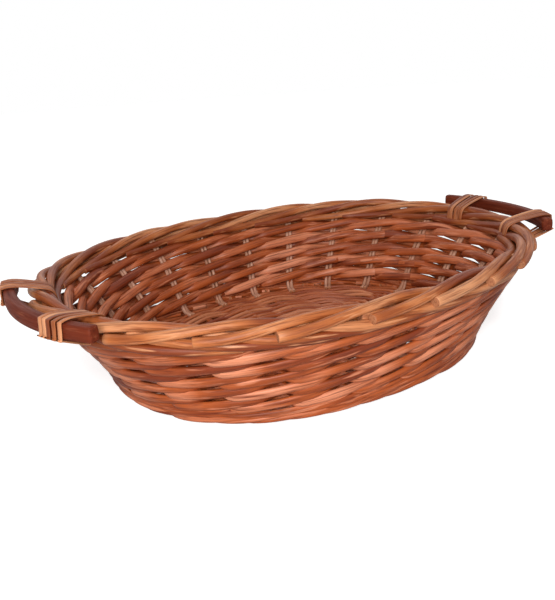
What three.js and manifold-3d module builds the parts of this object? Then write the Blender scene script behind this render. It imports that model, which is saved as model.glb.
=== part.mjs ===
// Oval wicker basket: three-rod wale over paired stakes, a rolled border of cut rods and two bent
// wooden ear handles lashed on with split willow. Millimetres, +Z up, long axis along X, with the
// origin at the middle of the underside.

import * as THREE from 'three';
import { mergeVertices } from 'three/addons/utils/BufferGeometryUtils.js';
import Module from 'manifold-3d';

const wasm = await Module();
wasm.setup();

// Driving dimensions

// Outline of the basket, measured on the middle of the border and of the foot of the wall
const rimHalfLength = 205;
const rimHalfWidth = 160;
const rimHeight = 82;
const footHalfLength = 156;
const footHalfWidth = 128;
const ovalPower = 2.23;
const flarePower = 1.25;

// Gap that touching pieces keep, and how far a cut runs past what it cuts
const clearance = 0.3;
const overrun = 2;

// Stakes: pairs of thin rods that stand in the wall
const strokesPerRound = 7;
const stakeDiameter = 3.4;
const stakeSpread = 3.2;
const stakeFootLength = 8;
const stakeBend = 4;

// Weavers of the wall: three rods a row, in front of two stakes and behind one
const weaverDiameter = 5.6;
const weaverStack = 6.8;
const weaverSlack = 0.65;
const rowGap = 0.15;

// Rolled border: each rod runs from a cut butt low outside, over the top, to a cut tip low inside.
// Its run along the rim and its lead ahead of a stake are shares of the stakes' pitch.
const borderRodDiameter = 5.8;
const borderWindRadius = 4.5;
const borderRunShare = 2.9;
const borderStartAngle = THREE.MathUtils.degToRad(-45);
const borderEndAngle = THREE.MathUtils.degToRad(225);
const borderLeadShare = 0.22;

// Base: flat-bottomed sticks, a flat weave over them and a rod round the edge. The sticks' spacing
// is a share of the foot's half width and half length.
const baseStickWidth = 5.2;
const baseStickHeight = 5;
const longSticks = 3;
const longStickShare = 0.2656;
const crossSticks = 7;
const crossStickShare = 0.2515;
const baseWeaverWidth = 9;
const baseWeaverHeight = 3.6;
const baseWeaverGap = 1.6;
const edgeRodDiameter = 5.2;

// Ear handles: bent bars that stand off the border. The left one's bend is centred a little past the
// end of the oval, the right one's whole pitches of the stakes further round.
const handleArcOffset = 12;
const rightHandlePitches = -1;
const handGap = 11;
const barThickness = 9;
const barHeight = 11;
const barTopHeight = 94.6;
const barBendRadius = 165;
const barHalfChord = 74;

// Both bars slide this far along their bend, towards their second lashing
const barSlide = 8;

// Section and ends of the bars
const barChamfer = 1.6;
const barEndBevel = 3;

// Lashings: split willow wound round bar and border. Their distance from the bend's middle is a
// share of the stakes' pitch.
const skeinWidth = 3.6;
const skeinThickness = 1.8;
const skeinPitch = 5;
const skeinTurns = 5;
const skeinSlack = 0.2;
const lashingPlaceShare = 0.95;

// Facets
const rodSides = 5;
const skeinSides = 6;
const borderSteps = 10;
const barSteps = 12;
const baseTurnSteps = 18;
const ovalSamples = 1440;

// Sizes worked out from the driving dimensions

const stakesPerStroke = 3;
const stakePairs = stakesPerStroke * strokesPerRound + 1;
const borderRadius = borderWindRadius + borderRodDiameter / 2;
const stakeFootHeight = baseStickHeight + clearance + stakeDiameter / 2;
const weaverOffset = (stakeDiameter + weaverDiameter) / 2 + clearance + weaverSlack;
const rowHalfHeight = (weaverStack + weaverDiameter) / 2;
const wallRise = rimHeight - stakeFootHeight;
const rowLean = (weaverOffset * (rimHalfLength - footHalfLength)) / wallRise;
const firstRowHeight = edgeRodDiameter + 2 * clearance + rowHalfHeight + rowLean;
const skeinRoom = skeinThickness + 2 * (clearance + skeinSlack);
const borderDrop = borderRodDiameter / 2 - borderWindRadius * Math.sin(borderStartAngle);
const lastRowHeight = rimHeight - borderDrop - skeinRoom - rowHalfHeight;

// The stakes' tops stand between the outer and the inner rod of the border, as deep as the rods let
// them
const borderGap = borderWindRadius - stakeDiameter / 2;
const borderSeat = Math.sqrt(Math.max(0, (borderRodDiameter / 2 + clearance) ** 2 - borderGap ** 2));
const stakeTopHeight = rimHeight - borderSeat - stakeDiameter / 4;

// Colours of the peeled and steamed willow

const stakeFinish = { color: 0xb98466, roughness: 0.62, metalness: 0 };
const weaverFinish = { color: 0xa4512c, roughness: 0.5, metalness: 0 };
const borderFinish = { color: 0xbf6a34, roughness: 0.46, metalness: 0 };
const baseFinish = { color: 0x8f4a2c, roughness: 0.6, metalness: 0 };
const handleFinish = { color: 0x7c3524, roughness: 0.5, metalness: 0 };
const skeinFinish = { color: 0xd09a63, roughness: 0.55, metalness: 0 };

// The oval

function signedPower(value, power) {
  return Math.sign(value) * Math.abs(value) ** power;
}

// A point of the oval of the given half sizes, with the level direction that points out of it
function ovalPoint(angle, halfLength, halfWidth) {
  const alongShare = signedPower(Math.cos(angle), 2 / ovalPower);
  const acrossShare = signedPower(Math.sin(angle), 2 / ovalPower);
  const outward = new THREE.Vector3(
    signedPower(alongShare, ovalPower - 1) / halfLength,
    signedPower(acrossShare, ovalPower - 1) / halfWidth,
    0,
  ).normalize();
  const position = new THREE.Vector3(alongShare * halfLength, acrossShare * halfWidth, 0);
  return { position, outward, alongShare, acrossShare };
}

// Running length of the rim at evenly spaced angles, from the +X end
function measureRim() {
  const lengths = [0];
  let last = ovalPoint(0, rimHalfLength, rimHalfWidth).position;
  for (let i = 1; i <= ovalSamples; i += 1) {
    const next = ovalPoint((2 * Math.PI * i) / ovalSamples, rimHalfLength, rimHalfWidth).position;
    lengths.push(lengths[i - 1] + next.distanceTo(last));
    last = next;
  }
  return lengths;
}

const rimLengths = measureRim();
const rimLength = rimLengths[ovalSamples];
const stakePitch = rimLength / stakePairs;

// The oval's angle at a running length of the rim
function angleAtLength(length) {
  const wrapped = ((length % rimLength) + rimLength) % rimLength;
  let i = 0;
  while (rimLengths[i + 1] < wrapped) i += 1;
  const part = (wrapped - rimLengths[i]) / (rimLengths[i + 1] - rimLengths[i]);
  return (2 * Math.PI * (i + part)) / ovalSamples;
}

// Stakes stand at whole pitches plus a half, counted from the arc offset of the handles
function angleAtPitch(pitches) {
  return angleAtLength(handleArcOffset + (pitches + 0.5) * stakePitch);
}

// A point of the wall's middle surface, with its outward and upward directions
function wallPoint(angle, height) {
  const riseShare = Math.max(0, (height - stakeFootHeight) / wallRise);
  const flareShare = riseShare ** flarePower;
  const slopeShare = flarePower * riseShare ** (flarePower - 1);
  const halfLength = footHalfLength + (rimHalfLength - footHalfLength) * flareShare;
  const halfWidth = footHalfWidth + (rimHalfWidth - footHalfWidth) * flareShare;
  const { position, outward, alongShare, acrossShare } = ovalPoint(angle, halfLength, halfWidth);
  position.z = height;
  const up = new THREE.Vector3(
    (alongShare * (rimHalfLength - footHalfLength) * slopeShare) / wallRise,
    (acrossShare * (rimHalfWidth - footHalfWidth) * slopeShare) / wallRise,
    1,
  );
  const lean = up.dot(outward);
  up.copy(outward).multiplyScalar(lean).setZ(1).normalize();
  const along = new THREE.Vector3(-outward.y, outward.x, 0);
  const facing = along.clone().cross(up).normalize();
  return { position, facing, up, outward, along };
}

// Surfaces

// Joins rings of points into one closed surface, either a loop or a run with flat ends
function loft(rings, isLoop) {
  const sides = rings[0].length;
  const positions = [];
  rings.forEach((ring) => ring.forEach((point) => positions.push(point.x, point.y, point.z)));
  const index = [];
  const spans = isLoop ? rings.length : rings.length - 1;
  for (let i = 0; i < spans; i += 1) {
    const near = i * sides;
    const far = ((i + 1) % rings.length) * sides;
    for (let j = 0; j < sides; j += 1) {
      const next = (j + 1) % sides;
      index.push(near + j, near + next, far + next, near + j, far + next, far + j);
    }
  }
  if (!isLoop) {
    const last = (rings.length - 1) * sides;
    for (let j = 1; j < sides - 1; j += 1) {
      index.push(0, j + 1, j, last, last + j, last + j + 1);
    }
  }
  const geometry = new THREE.BufferGeometry();
  geometry.setAttribute('position', new THREE.Float32BufferAttribute(positions, 3));
  geometry.setIndex(index);
  geometry.computeVertexNormals();
  return geometry;
}

// Carries a section along a route. Each stop of the route has a place and a direction that the
// section's first axis keeps to; ends of a run are cut square.
function sweep(stops, section, isLoop) {
  const count = stops.length;
  const rings = stops.map((stop, i) => {
    const before = isLoop ? stops[(i + count - 1) % count] : stops[Math.max(i - 1, 0)];
    const after = isLoop ? stops[(i + 1) % count] : stops[Math.min(i + 1, count - 1)];
    const ahead = after.position.clone().sub(before.position).normalize();
    const first = stop.axis.clone().addScaledVector(ahead, -stop.axis.dot(ahead)).normalize();
    const second = ahead.clone().cross(first);
    const scale = stop.scale ?? 1;
    return section.map((corner) => stop.position.clone()
      .addScaledVector(first, corner.x * scale)
      .addScaledVector(second, corner.y * scale));
  });
  return loft(rings, isLoop);
}

function roundSection(width, height, sides) {
  const corners = [];
  for (let i = 0; i < sides; i += 1) {
    const angle = (2 * Math.PI * i) / sides;
    corners.push(new THREE.Vector2((Math.cos(angle) * width) / 2, (Math.sin(angle) * height) / 2));
  }
  return corners;
}

// Two rods side by side, as one outline with a waist
function pairSection(diameter, spread) {
  const cornerShares = [0, 0.25, 0.75, 1];
  const arc = 0.8 * Math.PI;
  const radius = diameter / 2;
  const corners = [];
  [1, -1].forEach((side) => {
    cornerShares.forEach((share) => {
      const angle = (share - 0.5) * arc;
      const x = side * (spread / 2 + Math.cos(angle) * radius);
      const y = side * Math.sin(angle) * radius;
      corners.push(new THREE.Vector2(x, y));
    });
  });
  return corners;
}

function makeMesh(name, geometry, finish) {
  const mesh = new THREE.Mesh(geometry, new THREE.MeshStandardMaterial(finish));
  mesh.name = name;
  return mesh;
}

function twoDigits(number) {
  return String(number).padStart(2, '0');
}

// Solids for joining and cutting

function toSolid(geometry) {
  const bare = geometry.clone();
  bare.deleteAttribute('normal');
  bare.deleteAttribute('uv');
  const merged = mergeVertices(bare);
  const mesh = new wasm.Mesh({
    numProp: 3,
    vertProperties: new Float32Array(merged.attributes.position.array),
    triVerts: new Uint32Array(merged.index.array),
  });
  return new wasm.Manifold(mesh);
}

function toGeometry(solid) {
  const mesh = solid.getMesh();
  const geometry = new THREE.BufferGeometry();
  geometry.setAttribute('position', new THREE.BufferAttribute(new Float32Array(mesh.vertProperties), 3));
  geometry.setIndex(new THREE.BufferAttribute(new Uint32Array(mesh.triVerts), 1));
  geometry.computeVertexNormals();
  return geometry;
}

// Stakes

function makeStakePair(number) {
  const angle = angleAtPitch(number);
  const section = pairSection(stakeDiameter, stakeSpread);
  const foot = wallPoint(angle, stakeFootHeight);
  const inward = (distance, rise) => ({
    position: foot.position.clone().addScaledVector(foot.outward, -distance).setZ(stakeFootHeight + rise),
    axis: foot.along,
  });
  const bendShare = 0.3;
  const stops = [
    inward(stakeFootLength, 0),
    inward(stakeBend, 0),
    inward(stakeBend * bendShare, stakeBend * bendShare),
  ];
  const wallStops = 4;
  const wallFoot = stakeFootHeight + stakeBend;
  for (let i = 0; i < wallStops; i += 1) {
    const height = wallFoot + ((stakeTopHeight - wallFoot) * i) / (wallStops - 1);
    const wall = wallPoint(angle, height);
    stops.push({ position: wall.position, axis: wall.along });
  }
  return makeMesh(`stake_pair_${twoDigits(number + 1)}`, sweep(stops, section, false), stakeFinish);
}

// Wale of the wall

// How far out and how far up a weaver lies, half a pitch at a time, over the three stakes of a
// stroke: in front of two stakes, rising from the lower place to the upper, then behind one.
const strokeOutShares = [1, 1, 1, 0, -1, 0];
const strokeUpShares = [-1, 0, 1, 1, 0, -1];

// The pairs are one more than a multiple of three, so a row's rod comes round one place further
// along each time and closes on itself after three rounds.
function makeWaleRow(number, height) {
  const section = roundSection(weaverDiameter, weaverDiameter, rodSides);
  const stepsPerPitch = strokeOutShares.length / stakesPerStroke;
  const steps = stakePairs * stakesPerStroke * stepsPerPitch;
  const stops = [];
  for (let i = 0; i < steps; i += 1) {
    const part = i % strokeOutShares.length;
    const wall = wallPoint(angleAtPitch(i / stepsPerPitch), height);
    const position = wall.position.clone()
      .addScaledVector(wall.facing, strokeOutShares[part] * weaverOffset)
      .addScaledVector(wall.up, (strokeUpShares[part] * weaverStack) / 2);
    stops.push({ position, axis: wall.facing });
  }
  return makeMesh(`wale_row_${number + 1}`, sweep(stops, section, true), weaverFinish);
}

function makeWaleRows() {
  const span = lastRowHeight - firstRowHeight;
  const gaps = Math.max(1, Math.floor(span / (2 * rowHalfHeight + rowGap)));
  const rows = [];
  for (let i = 0; i <= gaps; i += 1) {
    rows.push(makeWaleRow(i, firstRowHeight + (span * i) / gaps));
  }
  return rows;
}

// Rolled border

function makeBorderRod(number) {
  const section = roundSection(borderRodDiameter, borderRodDiameter, rodSides);
  const stops = [];
  for (let i = 0; i <= borderSteps; i += 1) {
    const share = i / borderSteps;
    const turn = THREE.MathUtils.lerp(borderStartAngle, borderEndAngle, share);
    const pitches = number - borderLeadShare + share * borderRunShare;
    const rim = ovalPoint(angleAtPitch(pitches), rimHalfLength, rimHalfWidth);
    const axis = rim.outward.clone().multiplyScalar(Math.cos(turn)).setZ(Math.sin(turn));
    const position = rim.position.clone().setZ(rimHeight).addScaledVector(axis, borderWindRadius);
    stops.push({ position, axis });
  }
  return makeMesh(`border_rod_${twoDigits(number + 1)}`, sweep(stops, section, false), borderFinish);
}

// Base

// Half the length of a stick that lies at a distance from the middle, inside an oval
function reach(distance, alongHalf, acrossHalf) {
  return alongHalf * (1 - (distance / acrossHalf) ** ovalPower) ** (1 / ovalPower);
}

// A stick with a flat underside and a rounded top, from -half to +half along Y
function makeStick(half) {
  const side = baseStickWidth / 2;
  const shoulder = baseStickHeight / 2;
  const outline = new THREE.Shape();
  outline.moveTo(-side, 0);
  outline.lineTo(side, 0);
  outline.lineTo(side, shoulder);
  outline.lineTo(side / 2, baseStickHeight);
  outline.lineTo(-side / 2, baseStickHeight);
  outline.lineTo(-side, shoulder);
  outline.closePath();
  const stick = new THREE.ExtrudeGeometry(outline, { depth: 2 * half, bevelEnabled: false });
  stick.rotateX(Math.PI / 2);
  stick.translate(0, half, 0);
  return stick;
}

function makeBaseSticks() {
  const edge = edgeRodOffset() - edgeRodDiameter / 2 - clearance;
  const alongHalf = footHalfLength + edge;
  const acrossHalf = footHalfWidth + edge;
  const side = baseStickWidth / 2;
  const solids = [];
  for (let i = 0; i < crossSticks; i += 1) {
    const place = (i - (crossSticks - 1) / 2) * crossStickShare * footHalfLength;
    const stick = makeStick(reach(Math.abs(place) + side, acrossHalf, alongHalf));
    stick.translate(place, 0, 0);
    solids.push(toSolid(stick));
  }
  for (let i = 0; i < longSticks; i += 1) {
    const place = (i - (longSticks - 1) / 2) * longStickShare * footHalfWidth;
    const stick = makeStick(reach(Math.abs(place) + side, alongHalf, acrossHalf));
    stick.rotateZ(Math.PI / 2);
    stick.translate(0, place, 0);
    solids.push(toSolid(stick));
  }
  const grid = solids.reduce((joined, solid) => joined.add(solid));
  return makeMesh('base_sticks', toGeometry(grid), baseFinish);
}

// The base weave is one long flat strand that winds in from the stakes' feet to the middle
function makeBaseWeave() {
  const section = roundSection(baseWeaverWidth, baseWeaverHeight, skeinSides);
  const height = baseStickHeight + clearance + baseWeaverHeight / 2;
  const pitch = baseWeaverWidth + baseWeaverGap;
  const inset = stakeFootLength + clearance + baseWeaverWidth / 2;
  const turns = Math.floor((footHalfWidth - inset - pitch / 2) / pitch);
  const stops = [];
  for (let i = 0; i <= turns * baseTurnSteps; i += 1) {
    const angle = (2 * Math.PI * i) / baseTurnSteps;
    const shrink = inset + (pitch * i) / baseTurnSteps;
    const oval = ovalPoint(angle, footHalfLength - shrink, footHalfWidth - shrink);
    stops.push({ position: oval.position.clone().setZ(height), axis: oval.outward });
  }
  return makeMesh('base_weave', sweep(stops, section, false), baseFinish);
}

function edgeRodOffset() {
  return (stakeDiameter + edgeRodDiameter) / 2 + clearance;
}

function makeBaseEdgeRod() {
  const section = roundSection(edgeRodDiameter, edgeRodDiameter, rodSides);
  const stops = [];
  const stepsPerPitch = 2;
  for (let i = 0; i < stakePairs * stepsPerPitch; i += 1) {
    const foot = wallPoint(angleAtPitch(i / stepsPerPitch), stakeFootHeight);
    const position = foot.position.clone().addScaledVector(foot.outward, edgeRodOffset());
    position.z = clearance + edgeRodDiameter / 2;
    stops.push({ position, axis: foot.outward });
  }
  return makeMesh('base_edge_rod', sweep(stops, section, true), weaverFinish);
}

// Ear handles

const barReach = borderRadius + handGap + barThickness / 2;

// The bend of a bar whose middle stands off the rim some whole pitches past the arc offset
function makeBend(pitches) {
  const angle = angleAtLength(handleArcOffset + pitches * stakePitch);
  const { position, outward } = ovalPoint(angle, rimHalfLength, rimHalfWidth);
  const along = new THREE.Vector3(-outward.y, outward.x, 0);
  const centre = position.clone().addScaledVector(outward, barReach - barBendRadius);
  return { centre, outward, along };
}

// A stop on the bar at an angle of its bend
function barStop(bend, turn) {
  const axis = bend.outward.clone().multiplyScalar(Math.cos(turn)).addScaledVector(bend.along, Math.sin(turn));
  const position = bend.centre.clone().addScaledVector(axis, barBendRadius);
  position.z = barTopHeight - barHeight / 2;
  return { position, axis };
}

function makeHandle(name, bend) {
  const x = barThickness / 2;
  const y = barHeight / 2;
  const section = [
    [x, -y + barChamfer], [x, y - barChamfer], [x - barChamfer, y], [-x + barChamfer, y],
    [-x, y - barChamfer], [-x, -y + barChamfer], [-x + barChamfer, -y], [x - barChamfer, -y],
  ].map(([across, up]) => new THREE.Vector2(across, up));
  const halfTurn = Math.asin(barHalfChord / barBendRadius);
  const startTurn = barSlide / barBendRadius - halfTurn;
  const endTurn = barSlide / barBendRadius + halfTurn;
  const bevelTurn = barEndBevel / barBendRadius;
  const endScaleShare = 0.6;
  const turns = [{ turn: startTurn, scale: endScaleShare }];
  for (let i = 0; i <= barSteps; i += 1) {
    const turn = THREE.MathUtils.lerp(startTurn + bevelTurn, endTurn - bevelTurn, i / barSteps);
    turns.push({ turn, scale: 1 });
  }
  turns.push({ turn: endTurn, scale: endScaleShare });
  const stops = turns.map(({ turn, scale }) => ({ ...barStop(bend, turn), scale }));
  return makeMesh(name, sweep(stops, section, false), handleFinish);
}

// Lashings

// Distance from a stop on the bar, inward, to the middle of the border
function distanceToRim(stop) {
  let near = 0;
  let far = 2 * (barReach + borderRadius + overrun);
  const halvings = 40;
  for (let i = 0; i < halvings; i += 1) {
    const middle = (near + far) / 2;
    const x = stop.position.x - stop.axis.x * middle;
    const y = stop.position.y - stop.axis.y * middle;
    const level = Math.abs(x / rimHalfLength) ** ovalPower + Math.abs(y / rimHalfWidth) ** ovalPower;
    if (level > 1) near = middle;
    else far = middle;
  }
  return near;
}

// One turn of a lashing, in the plane through the bar's section: under the border, round the outer
// corners of the bar, over its top, over the border and down its inner side
function turnPlaces(bar) {
  const lift = skeinThickness / 2 + clearance + skeinSlack;
  const outer = barThickness / 2;
  const rim = -distanceToRim(bar);
  const barBottom = barTopHeight - barHeight;
  const roundHalfStep = Math.PI / 8;
  const roundRadius = (borderRadius + lift) / Math.cos(roundHalfStep);
  const corner = (across, height, eighths) => {
    const angle = (eighths * Math.PI) / 4;
    return [across + Math.cos(angle) * lift, height + Math.sin(angle) * lift];
  };
  const round = (eighths) => {
    const angle = (eighths * Math.PI) / 4;
    return [rim + Math.cos(angle) * roundRadius, rimHeight + Math.sin(angle) * roundRadius];
  };
  return [
    [rim, rimHeight - borderDrop - lift],
    [rim + borderWindRadius, rimHeight - borderDrop - lift],
    corner(outer, barBottom, -2),
    corner(outer, barBottom, -1),
    corner(outer, barBottom, 0),
    corner(outer, barTopHeight, 0),
    corner(outer, barTopHeight, 1),
    corner(outer, barTopHeight, 2),
    corner(-outer, barTopHeight, 2),
    corner(-outer, barTopHeight, 3),
    round(2),
    round(3),
    round(4),
    round(5),
  ];
}

// The lashings lie one to each side of the bend's middle, between two stakes
function makeLashing(name, bend, side) {
  const section = roundSection(skeinWidth, skeinThickness, skeinSides);
  const middleTurn = (side * lashingPlaceShare * stakePitch) / barBendRadius;
  const placesPerTurn = turnPlaces(barStop(bend, middleTurn)).length;
  const steps = skeinTurns * placesPerTurn;
  const stops = [];
  for (let i = 0; i <= steps; i += 1) {
    const slide = (i / steps - 0.5) * skeinTurns * skeinPitch;
    const bar = barStop(bend, middleTurn + slide / barBendRadius);
    const [across, height] = turnPlaces(bar)[i % placesPerTurn];
    const position = bar.position.clone().addScaledVector(bar.axis, across).setZ(height);
    stops.push({ position, axis: new THREE.Vector3(-bar.axis.y, bar.axis.x, 0) });
  }
  console.log(`${name}: least gap to itself ${leastGap(stops, placesPerTurn).toFixed(2)} mm`);
  return makeMesh(name, sweep(stops, section, false), skeinFinish);
}

// Least distance between the edges of neighbouring turns, measured between the strand's stops
function leastGap(stops, placesPerTurn) {
  let least = Infinity;
  for (let i = 0; i < stops.length; i += 1) {
    for (let j = i + Math.ceil(placesPerTurn / 2); j < stops.length; j += 1) {
      least = Math.min(least, stops[i].position.distanceTo(stops[j].position));
    }
  }
  return least - skeinWidth;
}

// The whole basket

function makeHandleEnd(end, pitches, turn) {
  const bend = makeBend(pitches);
  const handleEnd = new THREE.Group();
  handleEnd.add(makeHandle(`handle_${end}`, bend));
  handleEnd.add(makeLashing(`lashing_${end}_first`, bend, -1));
  handleEnd.add(makeLashing(`lashing_${end}_second`, bend, 1));
  handleEnd.rotation.z = turn;
  return handleEnd;
}

const group = new THREE.Group();
group.add(makeBaseSticks(), makeBaseWeave(), makeBaseEdgeRod());
for (let number = 0; number < stakePairs; number += 1) {
  group.add(makeStakePair(number));
}
group.add(...makeWaleRows());
for (let number = 0; number < stakePairs; number += 1) {
  group.add(makeBorderRod(number));
}
group.add(makeHandleEnd('right', rightHandlePitches, 0), makeHandleEnd('left', 0, Math.PI));

export default group;
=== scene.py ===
"""Oval willow basket: a three-rod waled wall on paired stakes, a rolled border, a woven base and two
bent wooden ear handles lashed on with split willow. Metres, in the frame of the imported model."""

import logging
import math
import random
from bisect import bisect_right
from dataclasses import dataclass, field
from enum import Enum
from functools import cache

import bmesh
import bpy
from mathutils import Matrix, Vector, noise


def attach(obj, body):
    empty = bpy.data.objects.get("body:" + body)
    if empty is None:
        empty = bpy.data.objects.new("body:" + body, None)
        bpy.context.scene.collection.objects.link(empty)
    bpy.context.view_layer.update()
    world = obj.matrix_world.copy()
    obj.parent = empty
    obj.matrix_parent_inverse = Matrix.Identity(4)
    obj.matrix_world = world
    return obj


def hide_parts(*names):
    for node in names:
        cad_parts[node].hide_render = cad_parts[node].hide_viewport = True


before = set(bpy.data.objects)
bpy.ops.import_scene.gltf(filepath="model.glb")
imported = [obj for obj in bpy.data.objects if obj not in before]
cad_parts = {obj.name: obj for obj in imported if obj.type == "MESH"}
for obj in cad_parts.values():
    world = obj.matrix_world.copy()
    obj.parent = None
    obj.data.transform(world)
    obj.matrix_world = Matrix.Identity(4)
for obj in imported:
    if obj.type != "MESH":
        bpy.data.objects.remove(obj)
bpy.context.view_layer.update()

log = logging.getLogger("basket")

MM = 0.001
FULL_TURN = 2 * math.pi

Triple = tuple[float, float, float]


# Finishes


class Attribute(Enum):
    """What each strand carries along its surface for its finish to read."""

    FIBRE = "fibre"
    TONE = "tone"


@dataclass(frozen=True)
class WillowFinish:
    """Colours and sheen of one kind of willow.

    Fields: pale, middle and deep are the colours that strands vary between, streak is the colour of
    the dark fibres and streak_share their strength, sheen is the roughness of the surface, coat the
    weight of its thin varnish and gloss the strength of its mirror light. fibre_width and fibre_length
    are the size of a fibre, relief its depth and bump how strongly it shows.
    """

    name: str
    pale: Triple
    middle: Triple
    deep: Triple
    streak: Triple
    streak_share: float = 0.7
    sheen: float = 0.42
    coat: float = 0.1
    gloss: float = 0.25
    fibre_width: float = 1.5 * MM
    fibre_length: float = 35 * MM
    relief: float = 0.5 * MM
    bump: float = 0.7
    coat_roughness: float = 0.32


@dataclass(frozen=True)
class CutFinish:
    """Colours of the cut end of a willow rod, in its pores and between them.

    Fields: pore_scale and pore_detail are the pores' noise, and pore_range where it is read and what
    it becomes there.
    """

    name: str = "cut willow"
    pith: Triple = (0.20, 0.05, 0.018)
    wood: Triple = (0.44, 0.17, 0.07)
    pore_scale: float = 900.0
    pore_detail: float = 3.0
    pore_range: tuple[float, ...] = (0.4, 0.7, 0.0, 0.8)
    relief: float = 0.3 * MM
    bump: float = 0.4
    sheen: float = 0.75


BORDER_FINISH = WillowFinish(
    "border willow",
    pale=(0.78, 0.37, 0.18),
    middle=(0.48, 0.142, 0.038),
    deep=(0.22, 0.040, 0.008),
    streak=(0.10, 0.016, 0.004),
)
WEAVER_FINISH = WillowFinish(
    "weaver willow",
    pale=(0.74, 0.27, 0.14),
    middle=(0.45, 0.098, 0.022),
    deep=(0.21, 0.034, 0.007),
    streak=(0.09, 0.012, 0.003),
    streak_share=0.75,
)
STAKE_FINISH = WillowFinish(
    "stake willow",
    pale=(0.66, 0.36, 0.25),
    middle=(0.52, 0.25, 0.15),
    deep=(0.34, 0.13, 0.07),
    streak=(0.20, 0.06, 0.03),
    streak_share=0.4,
)
BASE_FINISH = WillowFinish(
    "base willow",
    pale=(0.60, 0.22, 0.10),
    middle=(0.42, 0.10, 0.028),
    deep=(0.22, 0.038, 0.010),
    streak=(0.10, 0.015, 0.005),
    streak_share=0.5,
)
SKEIN_FINISH = WillowFinish(
    "split willow",
    pale=(0.70, 0.31, 0.15),
    middle=(0.44, 0.135, 0.042),
    deep=(0.20, 0.044, 0.012),
    streak=(0.10, 0.02, 0.006),
    streak_share=0.6,
    sheen=0.45,
    coat=0.05,
)
HANDLE_FINISH = WillowFinish(
    "bent wood",
    pale=(0.29, 0.075, 0.034),
    middle=(0.155, 0.025, 0.009),
    deep=(0.08, 0.011, 0.005),
    streak=(0.04, 0.006, 0.003),
    streak_share=0.55,
    sheen=0.5,
    coat=0.0,
    gloss=0.1,
)
CUT_FINISH = CutFinish()


class NodePainter:
    """Adds shader nodes to a tree and links them, left to right."""

    def __init__(self, tree: bpy.types.NodeTree) -> None:
        """Keeps a node tree."""
        self.tree = tree

    @classmethod
    def on(cls, owner: bpy.types.Material | bpy.types.World) -> "NodePainter":
        """A painter on the emptied tree of a material or of a world."""
        owner.use_nodes = True
        owner.node_tree.nodes.clear()
        return cls(owner.node_tree)

    def add(self, kind: str, **values: object) -> bpy.types.Node:
        """Adds a node and sets its properties.

        Args:
            kind: the type name of the node.
            values: properties of the node by name.

        Returns:
            The new node.
        """
        node = self.tree.nodes.new(kind)
        for name, value in values.items():
            setattr(node, name, value)
        return node

    def feed(self, value: object, target: bpy.types.NodeSocket) -> None:
        """Gives an input its value.

        Args:
            value: an output socket to link, a colour of three numbers, or a number.
            target: the input.
        """
        if isinstance(value, bpy.types.NodeSocket):
            self.tree.links.new(value, target)
        elif isinstance(value, tuple):
            target.default_value = (*value, 1.0)
        else:
            target.default_value = value

    def mix(self, share: object, first: object, second: object) -> bpy.types.NodeSocket:
        """Mixes two colours.

        Args:
            share: how much of the second colour.
            first: the first colour.
            second: the second colour.

        Returns:
            The socket of the mixed colour.
        """
        node = self.add("ShaderNodeMix", data_type="RGBA")
        for value, place in ((share, 0), (first, 6), (second, 7)):
            self.feed(value, node.inputs[place])
        return node.outputs[2]

    def sum(self, operation: str, *terms: object) -> bpy.types.NodeSocket:
        """Does a sum, such as MULTIPLY, on numbers or sockets.

        Args:
            operation: the name of the sum.
            terms: what it takes.

        Returns:
            The socket of the result.
        """
        node = self.add("ShaderNodeMath", operation=operation)
        for term, target in zip(terms, node.inputs):
            self.feed(term, target)
        return node.outputs[0]

    def spread(
        self, value: object, low: float, high: float, new_low: float = 0.0, new_high: float = 1.0
    ) -> bpy.types.NodeSocket:
        """Stretches a value from one range to another, held at its ends.

        Args:
            value: the socket to stretch.
            low, high: where the old range starts and ends.
            new_low, new_high: where the new range starts and ends.

        Returns:
            The socket of the stretched value.
        """
        node = self.add("ShaderNodeMapRange", clamp=True)
        for term, target in zip((value, low, high, new_low, new_high), node.inputs):
            self.feed(term, target)
        return node.outputs[0]


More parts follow.
